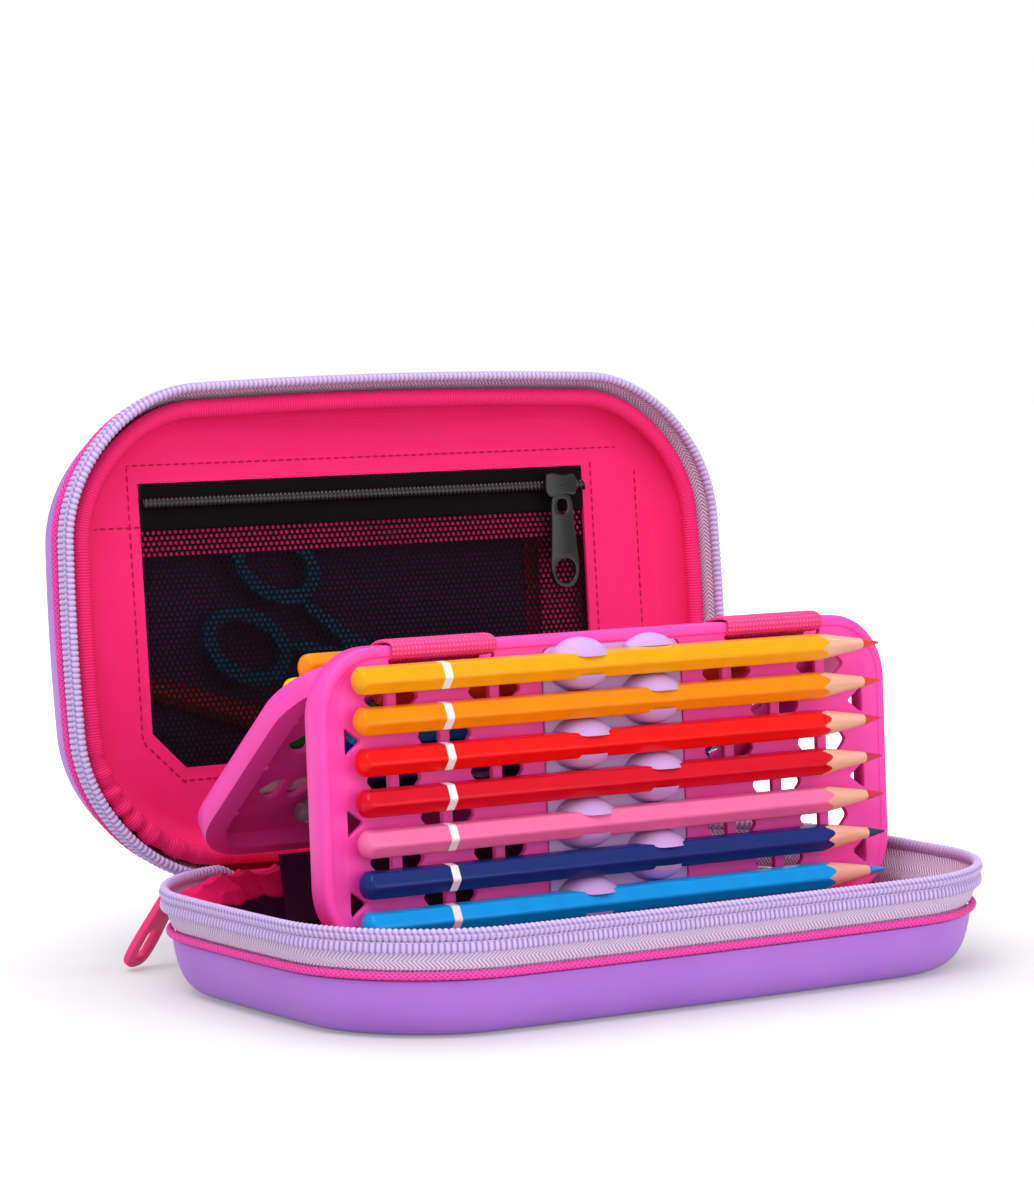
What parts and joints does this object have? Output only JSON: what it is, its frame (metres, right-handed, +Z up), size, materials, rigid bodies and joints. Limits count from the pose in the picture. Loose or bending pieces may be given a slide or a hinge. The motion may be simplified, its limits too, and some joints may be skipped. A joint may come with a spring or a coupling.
{
  "type": "filled pencil case",
  "caption": "Zipped clamshell pencil case, open, with a mesh pocket in its lid and hinged trays of coloured pencils and pens standing as a tent.",
  "frame": {"origin": "middle of the flat underside of the base, on the surface that the case stands on", "axes": "+X along the case's longer side, to the right as seen from its front; +Y from its front towards the lid's fold; +Z up"},
  "size_m": [0.2202, 0.1833, 0.1609],
  "materials": {
    "shell_violet": "satin moulded",
    "lining_pink": "smooth woven",
    "piping_pink": "braided",
    "tape_lilac": "herringbone woven",
    "teeth_lilac": "satin",
    "pull_pink": "satin",
    "tray_pink": "satin moulded",
    "clip_lilac": "satin moulded",
    "webbing_pink": "woven with pale dots",
    "mesh_black": "open honeycomb net",
    "tape_black": "woven",
    "zip_black": "satin",
    "scissor_teal": "satin",
    "marker_red": "gloss",
    "front_lacquer_1": "gloss lacquer",
    "front_lacquer_2": "gloss lacquer",
    "front_lacquer_3": "gloss lacquer",
    "front_lacquer_4": "gloss lacquer",
    "front_lacquer_5": "gloss lacquer",
    "front_lacquer_6": "gloss lacquer",
    "front_lacquer_7": "gloss lacquer",
    "front_core_1": "waxy",
    "front_core_2": "waxy",
    "front_core_3": "waxy",
    "front_core_4": "waxy",
    "front_core_5": "waxy",
    "front_core_6": "waxy",
    "front_core_7": "waxy",
    "rear_lacquer_1": "gloss lacquer",
    "rear_lacquer_2": "gloss lacquer",
    "rear_lacquer_3": "gloss lacquer",
    "rear_lacquer_4": "gloss lacquer",
    "rear_lacquer_5": "gloss lacquer",
    "rear_lacquer_6": "gloss lacquer",
    "rear_lacquer_7": "gloss lacquer",
    "pen_1": "gloss",
    "pen_2": "gloss",
    "pen_3": "gloss",
    "pen_4": "gloss",
    "pen_5": "gloss",
    "pen_6": "gloss",
    "pen_7": "gloss"
  },
  "bodies": {
    "base": {"base_shell": "shell_violet", "base_lining": "lining_pink", "base_piping": "piping_pink", "base_zip_tape": "tape_lilac", "base_zip_teeth": "teeth_lilac", "base_spine": "lining_pink", "zip_slider": "teeth_lilac", "tether_gusset": "lining_pink"},
    "lid": {"lid_shell": "shell_violet", "lid_lining": "lining_pink", "lid_piping": "piping_pink", "lid_zip_tape": "tape_lilac", "lid_zip_teeth": "teeth_lilac", "lid_spine": "lining_pink", "lid_binding": "piping_pink", "pocket_frame": "lining_pink", "pocket_mesh": "mesh_black", "pocket_zip_tape": "tape_black", "pocket_zip_teeth": "zip_black", "scissors_half_a": "scissor_teal", "scissors_half_b": "scissor_teal", "red_marker": "marker_red"},
    "tether_flap": {"tether_flap": "lining_pink"},
    "rear_tray": {"rear_tray": "tray_pink", "rear_clip_strip": "clip_lilac", "rear_pencil_1": "rear_lacquer_1", "rear_pencil_2": "rear_lacquer_2", "rear_pencil_3": "rear_lacquer_3", "rear_pencil_4": "rear_lacquer_4", "rear_pencil_5": "rear_lacquer_5", "rear_pencil_6": "rear_lacquer_6", "rear_pencil_7": "rear_lacquer_7", "fibre_pen_1": "pen_1", "fibre_pen_2": "pen_2", "fibre_pen_3": "pen_3", "fibre_pen_4": "pen_4", "fibre_pen_5": "pen_5", "fibre_pen_6": "pen_6", "fibre_pen_7": "pen_7"},
    "front_tray": {"front_tray": "tray_pink", "front_clip_strip": "clip_lilac", "pencil_1_barrel": "front_lacquer_1", "pencil_1_core": "front_core_1", "pencil_2_barrel": "front_lacquer_2", "pencil_2_core": "front_core_2", "pencil_3_barrel": "front_lacquer_3", "pencil_3_core": "front_core_3", "pencil_4_barrel": "front_lacquer_4", "pencil_4_core": "front_core_4", "pencil_5_barrel": "front_lacquer_5", "pencil_5_core": "front_core_5", "pencil_6_barrel": "front_lacquer_6", "pencil_6_core": "front_core_6", "pencil_7_barrel": "front_lacquer_7", "pencil_7_core": "front_core_7", "loop_left": "webbing_pink", "loop_right": "webbing_pink"},
    "zip_pull": {"zip_pull": "pull_pink"},
    "pocket_slider": {"pocket_slider": "zip_black"},
    "pocket_pull": {"pocket_pull": "zip_black"}
  },
  "joints": [
    {"name": "lid_hinge", "type": "hinge", "parent": "base", "child": "lid", "pos_m": [0, 0.068, 0.024], "axis": [1, 0, 0], "range_deg": [0, 95]},
    {"name": "tether_hinge", "type": "hinge", "parent": "base", "child": "tether_flap", "pos_m": [0, 0.052, 0.013], "axis": [1, 0, 0], "range_deg": [0, 68.3]},
    {"name": "rear_tray_hinge", "type": "hinge", "parent": "tether_flap", "child": "rear_tray", "pos_m": [0, 0.05635, 0.03262], "axis": [1, 0, 0], "range_deg": [-27.3, 0]},
    {"name": "front_tray_hinge", "type": "hinge", "parent": "rear_tray", "child": "front_tray", "pos_m": [0, -0.00516, 0.08609], "axis": [1, 0, 0], "range_deg": [0, 52], "deforming": ["loop_left", "loop_right"]},
    {"name": "zip_pull_swing", "type": "hinge", "parent": "base", "child": "zip_pull", "pos_m": [-0.08557, 0.0672, 0.0253], "axis": [0.901, 0.4339, 0], "range_deg": [0, 60]},
    {"name": "pocket_slider_slide", "type": "slide", "parent": "lid", "child": "pocket_slider", "axis": [-1, 0, 0], "range_m": [0, 0.13]},
    {"name": "pocket_pull_swing", "type": "hinge", "parent": "pocket_slider", "child": "pocket_pull", "pos_m": [0.06, 0.09286, 0.11764], "axis": [0, 0.9962, -0.0872], "range_deg": [-60, 60]}
  ],
  "couplings": [
    {"joint": "tether_hinge", "follows": "lid_hinge", "ratio": 0.71895},
    {"joint": "rear_tray_hinge", "follows": "lid_hinge", "ratio": -0.28737},
    {"joint": "front_tray_hinge", "follows": "lid_hinge", "ratio": 0.54737}
  ]
}
